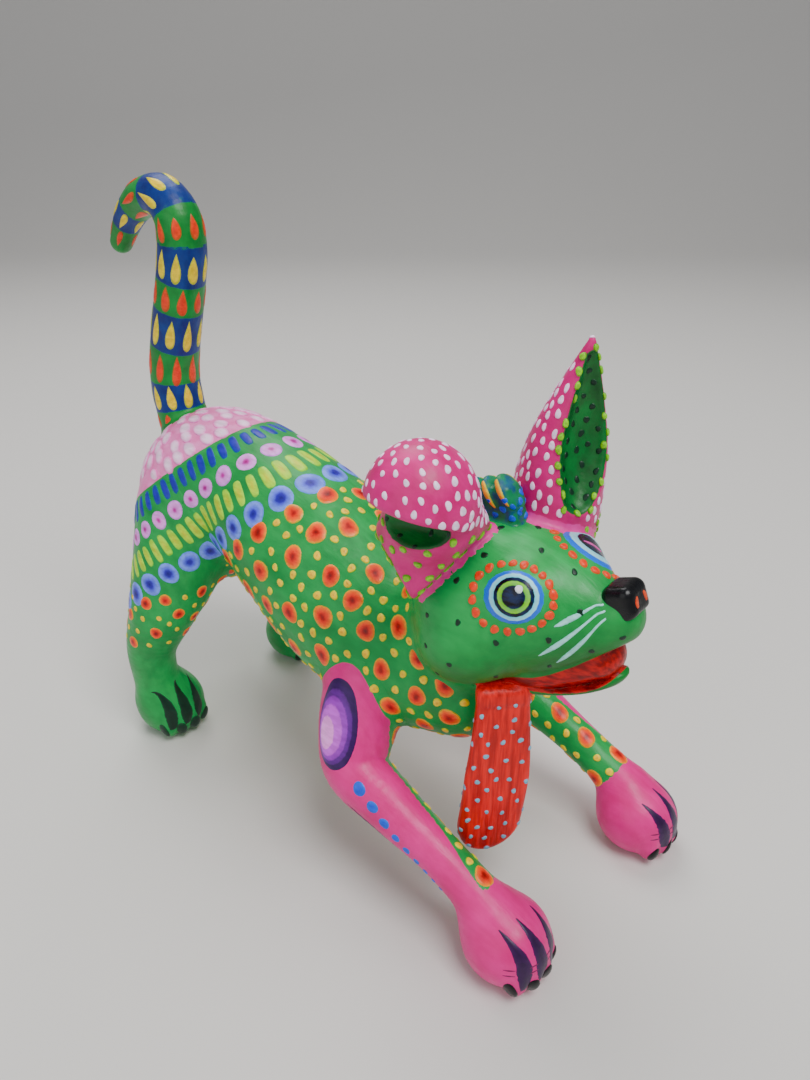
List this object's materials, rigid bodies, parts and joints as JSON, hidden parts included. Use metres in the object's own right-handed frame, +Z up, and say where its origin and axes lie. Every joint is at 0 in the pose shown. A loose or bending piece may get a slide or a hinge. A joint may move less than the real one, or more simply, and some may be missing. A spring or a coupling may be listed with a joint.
{
  "type": "alebrije figure",
  "caption": "Carved and painted wooden dog figure in a play bow, with plug-in ears and a plug-in tail, that stands on its flat paws.",
  "frame": {"origin": "middle of the figure's bounding box, on the surface that the paws stand on", "axes": "the dog looks along -Y, its left side is +X, its tail is towards +Y and +Z is up"},
  "size_m": [0.0711, 0.1686, 0.1513],
  "materials": {
    "body_paint": "satin acrylic paint over carved copal wood: green with rows of dots and bars",
    "head_paint": "satin acrylic paint over carved wood: green with painted eyes and whiskers",
    "crest_paint": "satin acrylic paint: green with blue dots and yellow strokes",
    "tongue_paint": "red paint that shows the wood grain, with small pale blue dots",
    "ear_paint": "satin acrylic paint: pink with raised white dots, green inside",
    "tail_paint": "satin acrylic paint: blue and green bands with teardrops",
    "foreleg_paint": "satin acrylic paint: pink outside, green inside",
    "hind_leg_paint": "satin acrylic paint: green with rows of dots and bars",
    "bare_wood": "bare wood pegs, hidden in the joints"
  },
  "bodies": {
    "figure": {"torso": "body_paint", "head": "head_paint", "crest": "crest_paint", "tongue": "tongue_paint", "front_right_leg": "foreleg_paint", "front_left_leg": "foreleg_paint", "rear_right_leg": "hind_leg_paint", "rear_left_leg": "hind_leg_paint", "neck_peg": "bare_wood", "front_right_leg_peg": "bare_wood", "front_left_leg_peg": "bare_wood", "rear_right_leg_peg": "bare_wood", "rear_left_leg_peg": "bare_wood"},
    "ear_left": {"ear_left": "ear_paint"},
    "ear_right": {"ear_right": "ear_paint"},
    "tail": {"tail": "tail_paint"}
  },
  "joints": [
    {"name": "ear_left_pull", "type": "slide", "parent": "figure", "child": "ear_left", "axis": [0.1572, -0.0983, 0.9827], "range_m": [0, 0.012]},
    {"name": "ear_right_pull", "type": "slide", "parent": "figure", "child": "ear_right", "axis": [-0.5517, 0.0502, 0.8325], "range_m": [0, 0.012]},
    {"name": "tail_pull", "type": "slide", "parent": "figure", "child": "tail", "axis": [0, 0.1104, 0.9939], "range_m": [0, 0.014]}
  ]
}
